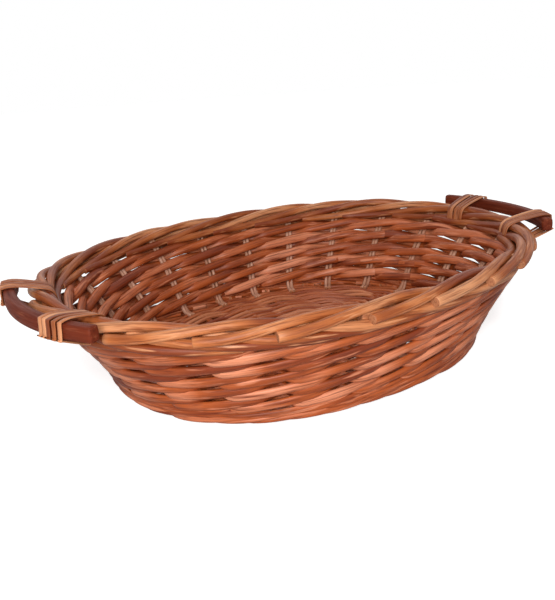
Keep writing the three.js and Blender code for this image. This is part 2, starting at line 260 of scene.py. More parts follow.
class WillowGrain:
    """The node group that gives every willow strand its fibres, dark blotches and painted highlights."""

    GIVEN = {
        "Fibre": "Vector",
        "Tone": "Float",
        "Pale": "Color",
        "Middle": "Color",
        "Deep": "Color",
        "Streak": "Color",
        "Streak Share": "Float",
        "Fibre Width": "Float",
        "Fibre Length": "Float",
        "Roughness": "Float",
    }
    MADE = {"Color": "Color", "Roughness": "Float", "Height": "Float"}

    # Sizes across and along the strand of its hairs, its blotches and its slow drift of tone
    HAIR = (0.35 * MM, 12 * MM)
    BLOTCH = (3.5 * MM, 30 * MM)
    DRIFT = (50 * MM, 160 * MM)

    # Ranges over which a noise is read, each with what it becomes at the range's two ends
    DRIFT_SHADE = (0.3, 0.7, -0.18, 0.42)
    BLOTCH_DARK = (0.54, 0.7, 0.0, 0.7)
    # Pale blotches are painted highlights, scattered at random along the strand
    BLOTCH_HIGHLIGHT = (0.44, 0.3, 0.0, 0.75)
    FIBRE_STREAK = (0.5, 0.7, 0.0, 1.0)
    HAIR_STREAK = (0.55, 0.8, 0.0, 0.35)
    FIBRE_ROUGH = (0.3, 0.7, -0.06, 0.16)

    # Shares of the strand's own tone in its shade, and of fibres and hairs in its relief
    TONE_SHARE = 0.75
    FIBRE_SHARE = -0.7
    HAIR_SHARE = -0.3

    # Shades at which the strand has its deep, its middle and its pale colour
    SHADES = (0.0, 0.5, 1.0)

    def __init__(self) -> None:
        """Builds the group."""
        self.group = bpy.data.node_groups.new("willow grain", "ShaderNodeTree")
        for way, sockets in (("INPUT", self.GIVEN), ("OUTPUT", self.MADE)):
            for name, kind in sockets.items():
                self.group.interface.new_socket(name=name, in_out=way, socket_type="NodeSocket" + kind)
        self._fill()

    def _noise(
        self, painter: NodePainter, parts: bpy.types.Node, across: object, along: object, detail: float
    ) -> bpy.types.NodeSocket:
        """Adds a noise over the fibre coordinates.

        Args:
            painter: adds the nodes.
            parts: the node that splits the fibre coordinates.
            across: size of a feature across the strand.
            along: size of a feature along the strand.
            detail: how many finer layers the noise has.

        Returns:
            The socket of the noise, from 0 to 1.
        """
        joined = painter.add("ShaderNodeCombineXYZ")
        for part, size, target in zip(parts.outputs, (across, across, along), joined.inputs):
            painter.feed(painter.sum("DIVIDE", part, size), target)
        node = painter.add("ShaderNodeTexNoise", noise_dimensions="3D")
        painter.feed(joined.outputs[0], node.inputs["Vector"])
        for name, value in (("Scale", 1.0), ("Detail", detail), ("Roughness", 0.6)):
            painter.feed(value, node.inputs[name])
        return node.outputs["Fac"]

    def _fill(self) -> None:
        """Adds the nodes of the group."""
        painter = NodePainter(self.group)
        given = painter.add("NodeGroupInput").outputs
        out = painter.add("NodeGroupOutput").inputs
        parts = painter.add("ShaderNodeSeparateXYZ")
        painter.feed(given["Fibre"], parts.inputs[0])
        fine = self._noise(painter, parts, given["Fibre Width"], given["Fibre Length"], 3.0)
        hair = self._noise(painter, parts, *self.HAIR, 2.0)
        blotch = self._noise(painter, parts, *self.BLOTCH, 2.0)
        drift = self._noise(painter, parts, *self.DRIFT, 1.0)
        # The strand's own tone and its drift choose between pale, middle and deep
        deep, middle, pale = self.SHADES
        own = painter.sum("MULTIPLY", given["Tone"], self.TONE_SHARE)
        shade = painter.sum("ADD", own, painter.spread(drift, *self.DRIFT_SHADE))
        light = painter.mix(painter.spread(shade, middle, pale), given["Middle"], given["Pale"])
        body = painter.mix(painter.spread(shade, middle, deep), light, given["Deep"])
        # Dark blotches and pale blotches of painted highlight, then streaks and hairs
        blotched = painter.mix(painter.spread(blotch, *self.BLOTCH_DARK), body, given["Deep"])
        # Pale blotches: painted highlights
        highlit = painter.mix(painter.spread(blotch, *self.BLOTCH_HIGHLIGHT), blotched, given["Pale"])
        streaks = painter.sum("MULTIPLY", painter.spread(fine, *self.FIBRE_STREAK), given["Streak Share"])
        streaked = painter.mix(streaks, highlit, given["Streak"])
        haired = painter.mix(painter.spread(hair, *self.HAIR_STREAK), streaked, given["Streak"])
        painter.feed(haired, out["Color"])
        rough = painter.sum("ADD", given["Roughness"], painter.spread(fine, *self.FIBRE_ROUGH))
        painter.feed(rough, out["Roughness"])
        fibres = painter.sum("MULTIPLY", fine, self.FIBRE_SHARE)
        hairs = painter.sum("MULTIPLY", hair, self.HAIR_SHARE)
        painter.feed(painter.sum("ADD", fibres, hairs), out["Height"])


class Palette:
    """Makes each finish into one material, on first use."""

    def __init__(self) -> None:
        """Builds the shared grain."""
        self.grain = WillowGrain()

    def _start(self, name: str) -> tuple[bpy.types.Material, NodePainter, bpy.types.Node]:
        """Makes an empty material with a Principled shader.

        Args:
            name: the material's name.

        Returns:
            The material, a painter for its tree and the shader node.
        """
        material = bpy.data.materials.new(name)
        painter = NodePainter.on(material)
        shader = painter.add("ShaderNodeBsdfPrincipled")
        painter.feed(shader.outputs[0], painter.add("ShaderNodeOutputMaterial").inputs[0])
        return material, painter, shader

    @staticmethod
    def _bump(painter: NodePainter, height: object, finish: WillowFinish | CutFinish) -> bpy.types.NodeSocket:
        """Turns a height into a surface direction, with the bump and relief of a finish."""
        node = painter.add("ShaderNodeBump")
        for name, value in (("Strength", finish.bump), ("Distance", finish.relief), ("Height", height)):
            painter.feed(value, node.inputs[name])
        return node.outputs[0]

    @cache
    def willow(self, finish: WillowFinish) -> bpy.types.Material:
        """The material of a willow finish.

        Args:
            finish: the finish.

        Returns:
            Its material.
        """
        material, painter, shader = self._start(finish.name)
        grain = painter.add("ShaderNodeGroup", node_tree=self.grain.group)
        fibre = painter.add("ShaderNodeAttribute", attribute_name=Attribute.FIBRE.value)
        tone = painter.add("ShaderNodeAttribute", attribute_name=Attribute.TONE.value)
        for name, value in {
            "Fibre": fibre.outputs["Vector"],
            "Tone": tone.outputs["Fac"],
            "Pale": finish.pale,
            "Middle": finish.middle,
            "Deep": finish.deep,
            "Streak": finish.streak,
            "Streak Share": finish.streak_share,
            "Fibre Width": finish.fibre_width,
            "Fibre Length": finish.fibre_length,
            "Roughness": finish.sheen,
        }.items():
            painter.feed(value, grain.inputs[name])
        for name, value in {
            "Base Color": grain.outputs["Color"],
            "Roughness": grain.outputs["Roughness"],
            "Normal": self._bump(painter, grain.outputs["Height"], finish),
            "Specular IOR Level": finish.gloss,
            "Coat Weight": finish.coat,
            "Coat Roughness": finish.coat_roughness,
        }.items():
            painter.feed(value, shader.inputs[name])
        return material

    @cache
    def cut(self, finish: CutFinish) -> bpy.types.Material:
        """The material of a cut end.

        Args:
            finish: the finish.

        Returns:
            Its material.
        """
        material, painter, shader = self._start(finish.name)
        place = painter.add("ShaderNodeTexCoord")
        noise_node = painter.add("ShaderNodeTexNoise")
        painter.feed(place.outputs["Object"], noise_node.inputs["Vector"])
        painter.feed(finish.pore_scale, noise_node.inputs["Scale"])
        painter.feed(finish.pore_detail, noise_node.inputs["Detail"])
        pores = noise_node.outputs["Fac"]
        colour = painter.mix(painter.spread(pores, *finish.pore_range), finish.wood, finish.pith)
        painter.feed(colour, shader.inputs["Base Color"])
        painter.feed(self._bump(painter, pores, finish), shader.inputs["Normal"])
        painter.feed(finish.sheen, shader.inputs["Roughness"])
        return material


# Strands


def add_object(name: str, data: bpy.types.ID) -> bpy.types.Object:
    """Puts a mesh, a lamp or a camera in the scene as a new object."""
    made = bpy.data.objects.new(name, data)
    bpy.context.scene.collection.objects.link(made)
    return made


@dataclass
class Stop:
    """One place on a strand's route.

    Fields: place is the strand's middle, side the direction that its width keeps to, width and height
    its size there, and lighter what is added to the strand's tone there.
    """

    place: Vector
    side: Vector
    width: float
    height: float
    lighter: float = 0.0


class Strands:
    """Willow strands gathered into one mesh, which carries their fibre coordinates."""

    # How far along the grain each strand starts after the one before it, so that no two look alike
    GRAIN_STEP = 0.37

    def __init__(self, name: str, finish: WillowFinish, sides: int) -> None:
        """Starts an empty mesh.

        Args:
            name: the name of the finished piece.
            finish: the finish of the strands.
            sides: how many sides a strand has.
        """
        self.name = name
        self.finish = finish
        self.sides = sides
        self.laid: list[bpy.types.Mesh] = []

    @staticmethod
    def _frames(stops: list[Stop]) -> list[Matrix]:
        """The frame of each stop: across, up, ahead and place, as the columns of a matrix.

        Args:
            stops: the strand's route.

        Returns:
            One matrix for each stop.
        """
        frames = []
        for number, stop in enumerate(stops):
            before = stops[max(number - 1, 0)].place
            after = stops[min(number + 1, len(stops) - 1)].place
            ahead = (after - before).normalized()
            across = (stop.side - ahead * stop.side.dot(ahead)).normalized()
            up = ahead.cross(across)
            axes = (across * (stop.width / 2), up * (stop.height / 2), ahead)
            frame_at = Matrix(axes).transposed().to_4x4()
            frame_at.translation = stop.place
            frames.append(frame_at)
        return frames

    def lay(
        self,
        stops: list[Stop],
        tone: float,
        squareness: float = 0.0,
        bevel: float = 0.6 * MM,
        slants: tuple[float, float] = (0.0, 0.0),
        is_cut: bool = True,
    ) -> None:
        """Adds one strand along a route.

        Args:
            stops: the route.
            tone: the strand's tone, from 0 dark to 1 pale.
            squareness: 0 for a round section, towards 1 for a square one.
            bevel: how far the rims of its ends are rounded.
            slants: how far each end's cut leans, as a share of the strand's width.
            is_cut: True where the ends show cut wood.
        """
        frames = self._frames(stops)
        mesh = bmesh.new()
        fibre = mesh.verts.layers.float_vector.new(Attribute.FIBRE.value)
        shade = mesh.verts.layers.float.new(Attribute.TONE.value)
        made = bmesh.ops.create_circle(mesh, cap_ends=True, segments=self.sides, radius=1.0)
        ring = made["verts"]
        if squareness:
            for vert in ring:
                longest = max(abs(vert.co.x), abs(vert.co.y))
                vert.co /= 1.0 - squareness + squareness * longest
        offset = len(self.laid) * self.GRAIN_STEP
        for vert in ring:
            vert[fibre] = (vert.co.x * stops[0].width / 2, vert.co.y * stops[0].height / 2, offset)
            vert[shade] = tone + stops[0].lighter
        caps = list(ring[0].link_faces)
        edges = list({edge for vert in ring for edge in vert.link_edges})
        bmesh.ops.transform(mesh, matrix=frames[0], verts=ring)
        first_ring, first_edges = ring, edges
        length = offset
        for number in range(1, len(stops)):
            grown = bmesh.ops.extrude_edge_only(mesh, edges=edges)["geom"]
            ring = [item for item in grown if isinstance(item, bmesh.types.BMVert)]
            new = set(ring)
            edges = [
                item
                for item in grown
                if isinstance(item, bmesh.types.BMEdge) and item.verts[0] in new and item.verts[1] in new
            ]
            length += (stops[number].place - stops[number - 1].place).length
            for vert in ring:
                vert[fibre] = (vert[fibre][0], vert[fibre][1], length)
                vert[shade] = tone + stops[number].lighter
            bmesh.ops.transform(mesh, matrix=frames[number] @ frames[number - 1].inverted(), verts=ring)
        caps += bmesh.ops.edgeloop_fill(mesh, edges=edges)["faces"]
        ends = ((first_ring, frames[0], stops[0]), (ring, frames[-1], stops[-1]))
        for slant, (verts, frame_at, stop) in zip(slants, ends):
            if slant:
                lean = Matrix.Identity(4)
                lean[2][0] = slant * stop.width
                bmesh.ops.transform(mesh, matrix=lean, space=frame_at.inverted(), verts=verts)
        for face in caps:
            face.material_index = 1 if is_cut else 0
        if bevel:
            bmesh.ops.bevel(
                mesh,
                geom=first_edges + edges,
                offset=bevel,
                segments=2,
                profile=0.5,
                affect="EDGES",
                material=-1,
                clamp_overlap=True,
            )
        bmesh.ops.recalc_face_normals(mesh, faces=mesh.faces)
        for face in mesh.faces:
            face.smooth = len(face.verts) == 4
        strand = bpy.data.meshes.new("strand")
        mesh.to_mesh(strand)
        mesh.free()
        self.laid.append(strand)

    def finish_piece(self, palette: Palette, node: str) -> None:
        """Makes the strands into a piece of the basket.

        Args:
            palette: makes the finish's material.
            node: the CAD node that the piece stands for.
        """
        joined = bmesh.new()
        for strand in self.laid:
            joined.from_mesh(strand)
            bpy.data.meshes.remove(strand)
        data = bpy.data.meshes.new(self.name)
        joined.to_mesh(data)
        joined.free()
        data.materials.append(palette.willow(self.finish))
        data.materials.append(palette.cut(CUT_FINISH))
        piece = add_object(self.name, data)
        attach(piece, "root")
        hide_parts(node)
        log.info("%s: %d faces", self.name, len(data.polygons))


def smooth_value(table: list[tuple[float, ...]], place: float) -> list[float]:
    """Reads a table of values along a strand, smoothly between its rows.

    Args:
        table: rows that each start with a place, in rising order, and go on with values.
        place: the place to read.

    Returns:
        The values there.
    """
    places = [row[0] for row in table]
    high = min(max(bisect_right(places, place), 1), len(table) - 1)
    low = high - 1
    span = places[high] - places[low]
    share = min(max((place - places[low]) / span, 0.0), 1.0)
    values = []
    for column in range(1, len(table[0])):
        start, end = table[low][column], table[high][column]
        before = table[low - 1] if low > 0 else table[low]
        after = table[high + 1] if high + 1 < len(table) else table[high]
        slope_in = (end - before[column]) / (places[high] - before[0]) * span
        slope_out = (after[column] - start) / (after[0] - places[low]) * span
        s2, s3 = share * share, share**3
        values.append(
            (2 * s3 - 3 * s2 + 1) * start
            + (s3 - 2 * s2 + share) * slope_in
            + (3 * s2 - 2 * s3) * end
            + (s3 - s2) * slope_out
        )
    return values


def signed_power(value: float, power: float) -> float:
    """Raises a number to a power and keeps its sign."""
    return math.copysign(abs(value) ** power, value)


@dataclass(frozen=True)
class Drift:
    """A slow natural change along a strand.

    Fields: amount is about how far it goes either way, reach the length over which it wanders, and
    apart what keeps it unlike the strand's other drifts.
    """

    amount: float
    reach: float
    apart: float = 0.0

    # How far apart in the noise two seeds lie, and what brings the noise to about -1 to 1
    SEED_STEPS = (3.7, 1.3)
    NOISE_SCALE = 2.0

    def at(self, seed: float, length: float) -> float:
        """The change at a place along a strand.

        Args:
            seed: the strand's own seed.
            length: how far along the strand.

        Returns:
            The change there.
        """
        lanes = ((seed + self.apart) * step for step in self.SEED_STEPS)
        return self.amount * self.NOISE_SCALE * noise.noise(Vector((length / self.reach, *lanes)))


# Range that a strand's seed is drawn from
SEEDS = (0, 100)


# The basket's form


@dataclass(frozen=True)
class WallPlace:
    """A place on the wall's middle surface, with its directions."""

    place: Vector
    facing: Vector
    up: Vector
    outward: Vector
    along: Vector


@dataclass
class OvalForm:
    """The oval of the rim and of the foot, the wall that flares between them and the stakes' places."""

    rim_half_length: float = 205 * MM
    rim_half_width: float = 160 * MM
    rim_height: float = 82 * MM
    foot_half_length: float = 156 * MM
    foot_half_width: float = 128 * MM
    foot_height: float = 7 * MM
    oval_power: float = 2.23
    flare_power: float = 1.25
    handle_offset: float = 12 * MM
    stake_pairs: int = 22
    samples: int = 1440
    lengths: list[float] = field(default_factory=list)

    def __post_init__(self) -> None:
        """Measures the rim's running length from the +X end."""
        last = self.oval(0.0, self.rim_half_length, self.rim_half_width)[0]
        self.lengths.append(0.0)
        for number in range(1, self.samples + 1):
            angle = FULL_TURN * number / self.samples
            here = self.oval(angle, self.rim_half_length, self.rim_half_width)[0]
            self.lengths.append(self.lengths[-1] + (here - last).length)
            last = here

    @property
    def pitch(self) -> float:
        """Distance between two stake pairs along the rim."""
        return self.lengths[-1] / self.stake_pairs

    def oval(self, angle: float, half_length: float, half_width: float) -> tuple[Vector, Vector]:
        """A point of an oval.

        Args:
            angle: the oval's angle.
            half_length: half its length.
            half_width: half its width.

        Returns:
            The point, and the level direction that points out of the oval there.
        """
        along = signed_power(math.cos(angle), 2 / self.oval_power)
        across = signed_power(math.sin(angle), 2 / self.oval_power)
        power = self.oval_power - 1
        slopes = signed_power(along, power) / half_length, signed_power(across, power) / half_width
        return Vector((along * half_length, across * half_width, 0.0)), Vector((*slopes, 0.0)).normalized()

    def angle_at(self, pitches: float) -> float:
        """The oval's angle at a number of stake pitches from the first pair.

        Args:
            pitches: how many pitches; whole numbers are stakes.

        Returns:
            The angle.
        """
        return self.angle_at_length(self.handle_offset + (pitches + 0.5) * self.pitch)

    def angle_at_length(self, length: float) -> float:
        """The oval's angle at a running length of the rim."""
        length %= self.lengths[-1]
        low = bisect_right(self.lengths, length) - 1
        share = (length - self.lengths[low]) / (self.lengths[low + 1] - self.lengths[low])
        return FULL_TURN * (low + share) / self.samples

    def wall(self, angle: float, height: float) -> WallPlace:
        """A place on the wall.

        Args:
            angle: the oval's angle.
            height: the height above the floor.

        Returns:
            The place and its directions.
        """
        rise = self.rim_height - self.foot_height
        share = max(0.0, (height - self.foot_height) / rise)
        flare = share**self.flare_power
        slope = self.flare_power * share ** (self.flare_power - 1)
        more_length = self.rim_half_length - self.foot_half_length
        more_width = self.rim_half_width - self.foot_half_width
        place, outward = self.oval(
            angle, self.foot_half_length + more_length * flare, self.foot_half_width + more_width * flare
        )
        place.z = height
        gradient = self.oval(angle, more_length, more_width)[0] * (slope / rise)
        up = (outward * gradient.dot(outward) + Vector((0, 0, 1))).normalized()
        along = Vector((-outward.y, outward.x, 0.0))
        return WallPlace(place, along.cross(up).normalized(), up, outward, along)

    def rim(self, pitches: float) -> tuple[Vector, Vector]:
        """A point of the rim's middle line.

        Args:
            pitches: how many stake pitches along.

        Returns:
            The point, and the level direction that points out there.
        """
        place, outward = self.oval(self.angle_at(pitches), self.rim_half_length, self.rim_half_width)
        place.z = self.rim_height
        return place, outward


# Sub-assemblies


@dataclass
class Stakes:
    """Pairs of thin upright rods, hooked in over the edge of the base and held in the border."""

    form: OvalForm
    palette: Palette
    diameter: float = 3.3 * MM
    spread: float = 3.5 * MM
    bend: float = 4 * MM
    top_height: float = 82 * MM
    steps: int = 16
    sides: int = 10
    lean: Drift = Drift(0.6 * MM, 30 * MM)
    bulge: Drift = Drift(0.3 * MM, 30 * MM, apart=50)

    SEED = 1000

    # Ranges of each rod's own thickness, as a share, and of its tone
    SIZES = (0.9, 1.08)
    TONES = (0.3, 1.0)

    # Stops of the hooked foot: millimetres in from the wall and up
    FOOT = [(12.0, 0.0), (6.4, 0.0), (2.4, 0.6), (0.6, 2.5)]

    def _rod(self, strands: Strands, number: int, side: int) -> None:
        """Lays one rod of a pair.

        Args:
            strands: the mesh to lay it in.
            number: which pair.
            side: -1 or 1, the rod's side of the pair.
        """
        form = self.form
        angle = form.angle_at(number)
        seed = number * 2.0 + side
        rng = random.Random(self.SEED + number * 2 + side)
        diameter = self.diameter * rng.uniform(*self.SIZES)
        shift = side * self.spread / 2
        foot = form.wall(angle, form.foot_height)
        stops = []
        for back, rise in self.FOOT:
            place = foot.place - foot.outward * (back * MM) + foot.along * shift
            place.z = form.foot_height + rise * MM
            stops.append(Stop(place, foot.along, diameter, diameter))
        start = form.foot_height + self.bend
        for step in range(self.steps + 1):
            height = start + (self.top_height - start) * step / self.steps
            wall = form.wall(angle, height)
            sideways = shift + self.lean.at(seed, height)
            place = wall.place + wall.along * sideways + wall.facing * self.bulge.at(seed, height)
            stops.append(Stop(place, wall.along, diameter, diameter))
        strands.lay(stops, rng.uniform(*self.TONES))

    def build(self) -> None:
        """Makes every pair."""
        for number in range(self.form.stake_pairs):
            name = f"stake_pair_{number + 1:02d}"
            strands = Strands(name + "_rods", STAKE_FINISH, self.sides)
            for side in (-1, 1):
                self._rod(strands, number, side)
            strands.finish_piece(self.palette, name)


@dataclass
class WaleWall:
    """Rows of three-rod wale: each rod passes in front of two stake pairs and behind one."""

    form: OvalForm
    palette: Palette
    rows: int = 5
    first_height: float = 19.0 * MM
    last_height: float = 65.2 * MM
    thickness: float = 5.0 * MM
    tallest: float = 8.6 * MM
    tall_share: float = 0.63
    overlap: float = 1.13
    offset: float = 4.4 * MM
    steps_per_pitch: int = 12
    pairs_per_stroke: int = 3
    overrun: float = 0.2
    first_pair: int = 2
    sides: int = 10
    foot_low: float = 8.0 * MM
    foot_high: float = 14.0 * MM
    wander: Drift = Drift(0.4 * MM, 1.6)
    size_drift: Drift = Drift(0.08, 0.6, apart=9)
    tone_drift: Drift = Drift(0.5, 1.3, apart=20)

    SEED = 200
    FOOT_SEED = 77

    # How many pitches each of a row's three rods runs
    RUNS = (21, 21, 24)

    # Ranges of each rod's own thickness at its butt and its tip, as shares, and of its tone
    BUTTS = (1.0, 1.08)
    TIPS = (0.9, 0.97)
    TONES = (0.1, 0.75)

    # How far the cuts of a rod's butt and tip lean, as shares of its width
    SLANTS = (0.25, -0.2)

    # Painted highlight where a rod comes out: its middle in pitches after it comes out, over how many, and
    # how much lighter
    STROKE_HIGHLIGHT = (0.2, 0.35, 0.38)

    # Place in the stroke in pitches, share of the offset outwards and share of the rise upwards
    STROKE = [
        (-1.0, -1.0, 0.0),
        (-0.7, -1.0, -0.55),
        (-0.4, -0.7, -0.95),
        (-0.14, 0.95, -1.0),
        (0.1, 1.05, -0.85),
        (0.5, 1.1, 0.0),
        (0.9, 1.05, 0.85),
        (1.2, 0.7, 1.0),
        (1.55, -0.6, 0.85),
        (1.8, -0.95, 0.4),
        (2.0, -1.0, 0.0),
        (2.3, -1.0, -0.55),
        (2.6, -0.7, -0.95),
        (2.86, 0.95, -1.0),
        (3.1, 1.05, -0.85),
    ]

    def _stroke(self, pitches: float) -> list[float]:
        """How far out and up a rod lies, as shares, at a place of its run."""
        return smooth_value(self.STROKE, pitches % self.pairs_per_stroke)

    def _lighter(self, pitches: float, seed: float) -> float:
        """How much lighter a rod is at a place of its run: a painted highlight where it comes out, and by
        chance.
        """
        since_start = (pitches + 0.5) % self.pairs_per_stroke - 0.5
        middle, spread, lighter = self.STROKE_HIGHLIGHT
        # Painted highlight on the outward part of each stroke
        highlit = math.exp(-(((since_start - middle) / spread) ** 2))
        return lighter * highlit + self.tone_drift.at(seed, pitches)

    def _rod(self, strands: Strands, row: int, start: int, end: int, rng: random.Random) -> None:
        """Lays one rod of a row.

        Args:
            strands: the mesh to lay it in.
            row: which row, from the bottom.
            start: the place of its butt along the row's run, in pitches.
            end: the place of its tip.
            rng: where its own variation comes from.
        """
        form = self.form
        row_height = (self.last_height - self.first_height) / (self.rows - 1)
        height = self.first_height + row_height * row
        seed = rng.uniform(*SEEDS)
        butt = rng.uniform(*self.BUTTS)
        tip = rng.uniform(*self.TIPS)
        run = end - start + 2 * self.overrun
        steps = int(run * self.steps_per_pitch)
        stops = []
        for step in range(steps + 1):
            share = step / steps
            pitches = start - self.overrun + run * share
            out, rise = self._stroke(pitches)
            wall = form.wall(form.angle_at(pitches), height + self.wander.at(seed, pitches))
            spacing = row_height / wall.up.z
            tall = min(self.tall_share * spacing, self.tallest)
            lift = rise * (spacing * self.overlap - tall) / 2
            place = wall.place + wall.facing * (out * self.offset) + wall.up * lift
            scale = (butt + (tip - butt) * share) * (1.0 + self.size_drift.at(seed, pitches))
            stops.append(
                Stop(place, wall.facing, self.thickness * scale, tall * scale, self._lighter(pitches, seed))
            )
        strands.lay(stops, rng.uniform(*self.TONES), slants=self.SLANTS)

    def build(self) -> None:
        """Makes every row, with fine rods below the first."""
        for row in range(self.rows):
            name = f"wale_row_{row + 1}"
            strands = Strands(name + "_rods", WEAVER_FINISH, self.sides)
            rng = random.Random(self.SEED + row)
            strokes = self.form.stake_pairs // self.pairs_per_stroke
            start = self.first_pair + self.pairs_per_stroke * rng.randrange(strokes)
            for run in self.RUNS:
                self._rod(strands, row, start, start + run, rng)
                start += run
            if row == 0:
                foot = FootStrokes(self.form, self.foot_low, self.foot_high)
                foot.lay_on(strands, random.Random(self.FOOT_SEED))
            strands.finish_piece(self.palette, name)


@dataclass
class FootStrokes:
    """Short fine rods that climb round the foot, each over the one before it."""

    form: OvalForm
    low: float
    high: float
    diameter: float = 3.9 * MM
    offset: float = 4.3 * MM
    count: int = 36
    span: float = 2.4
    steps: int = 26
    flatness: float = 0.9
    wander: Drift = Drift(0.4 * MM, 0.3)
    tone_drift: Drift = Drift(0.3, 0.4, apart=7)

    # Ranges of each rod's own slide, in rods, its span and thickness, as shares, and its tone
    SLIDES = (-0.2, 0.2)
    SPANS = (0.85, 1.15)
    SIZES = (0.88, 1.1)
    TONES = (0.15, 0.9)

    # Share of the rod's run, share of the offset outwards and share of the climb
    CLIMB = [
        (0.0, -0.3, -0.1),
        (0.1, 0.8, 0.0),
        (0.3, 1.2, 0.2),
        (0.65, 1.05, 0.7),
        (0.9, 0.8, 1.0),
        (1.0, -0.3, 1.1),
    ]

    def lay_on(self, strands: Strands, rng: random.Random) -> None:
        """Lays the rods in a mesh.

        Args:
            strands: the mesh.
            rng: where each rod's own variation comes from.
        """
        for number in range(self.count):
            start = self.form.stake_pairs * (number + rng.uniform(*self.SLIDES)) / self.count
            span = self.span * rng.uniform(*self.SPANS)
            seed = rng.uniform(*SEEDS)
            size = self.diameter * rng.uniform(*self.SIZES)
            stops = []
            for step in range(self.steps + 1):
                share = step / self.steps
                out, climb = smooth_value(self.CLIMB, share)
                height = self.low + (self.high - self.low) * climb + self.wander.at(seed, share)
                wall = self.form.wall(self.form.angle_at(start + span * share), height)
                place = wall.place + wall.facing * (out * self.offset)
                lighter = self.tone_drift.at(seed, share)
                stops.append(Stop(place, wall.facing, size * self.flatness, size, lighter))
            strands.lay(stops, rng.uniform(*self.TONES))


@dataclass
class RolledBorder:
    """The rolled border: short rods that each start at a cut butt outside and roll over to the inside,
    with the bent tops of the stakes lying under them."""

    form: OvalForm
    palette: Palette
    diameter: float = 7.2 * MM
    under_diameter: float = 6.9 * MM
    lead: float = -0.22
    steps: int = 38
    sides: int = 14
    butt_share: float = 1.03
    taper: float = 0.12
    # Painted light and shade: each rod is paler at its butt outside, where light falls, and darker towards
    # its tip inside, where shade falls
    painted_butt_light: float = 0.35
    painted_tip_shade: float = 0.8
    size_drift: Drift = Drift(0.05, 0.5, apart=5)
    tone_drift: Drift = Drift(0.5, 0.7, apart=12)

    # In millimetres, as the rods' tables are
    ACROSS_DRIFT = Drift(0.6, 0.9)
    RISE_DRIFT = Drift(0.6, 0.9, apart=30)

    SEED = 500

    # Ranges of each rod's own slide, in pitches, its tone and, as shares, its thickness
    SLIDES = (-0.1, 0.1)
    TONES = (0.0, 0.85)
    SIZES = (0.93, 1.05)
    UNDER_SIZES = (0.9, 1.06)

    # How far the cuts of a rod's butt and tip lean, as shares of its width
    SLANTS = (0.08, -0.3)

    # Place along in pitches, then millimetres out from the rim's middle line and up from it
    ROLL = [
        (0.0, 6.8, -2.6),
        (0.3, 6.6, -1.4),
        (0.7, 5.4, 1.6),
        (1.1, 2.6, 4.0),
        (1.5, -0.9, 4.5),
        (1.95, -4.2, 2.6),
        (2.4, -6.2, -1.0),
        (2.85, -8.2, -4.6),
        (3.4, -9.6, -6.8),
        (4.0, -10.0, -7.4),
    ]
    UNDER = [
        (-0.9, -1.5, -1.0),
        (-0.45, 0.6, -3.2),
        (0.0, 2.4, -5.9),
        (0.4, 2.3, -8.1),
        (0.8, 0.6, -9.8),
        (1.2, -1.2, -10.8),
        (1.65, -2.2, -11.2),
    ]

    def _rod(
        self,
        strands: Strands,
        number: int,
        table: list[tuple[float, ...]],
        diameter: float,
        rng: random.Random,
    ) -> None:
        """Lays one rod round the rim.

        Args:
            strands: the mesh to lay it in.
            number: which rod.
            table: its roll round the rim.
            diameter: its thickness.
            rng: where its own variation comes from.
        """
        seed = rng.uniform(*SEEDS)
        slide = rng.uniform(*self.SLIDES)
        tone = rng.uniform(*self.TONES)
        stops = []
        for step in range(self.steps + 1):
            share = step / self.steps
            at = table[0][0] + (table[-1][0] - table[0][0]) * share
            across, rise = smooth_value(table, at)
            place, outward = self.form.rim(number + self.lead + slide + at)
            across += self.ACROSS_DRIFT.at(seed, at)
            rise += self.RISE_DRIFT.at(seed, at)
            place += outward * (across * MM) + Vector((0, 0, rise * MM))
            size = diameter * (self.butt_share - self.taper * share) * (1.0 + self.size_drift.at(seed, at))
            # Painted light at the butt outside and painted shade towards the tip inside, with a random drift
            lighter = self.painted_butt_light - self.painted_tip_shade * share + self.tone_drift.at(seed, at)
            stops.append(Stop(place, outward, size, size, lighter))
        strands.lay(stops, tone, slants=self.SLANTS)

    def build(self) -> None:
        """Makes every rod of the border."""
        for number in range(self.form.stake_pairs):
            name = f"border_rod_{number + 1:02d}"
            strands = Strands(name + "_roll", BORDER_FINISH, self.sides)
            rng = random.Random(self.SEED + number)
            for table, diameter, sizes in (
                (self.ROLL, self.diameter, self.SIZES),
                (self.UNDER, self.under_diameter, self.UNDER_SIZES),
            ):
                self._rod(strands, number, table, diameter * rng.uniform(*sizes), rng)
            strands.finish_piece(self.palette, name)


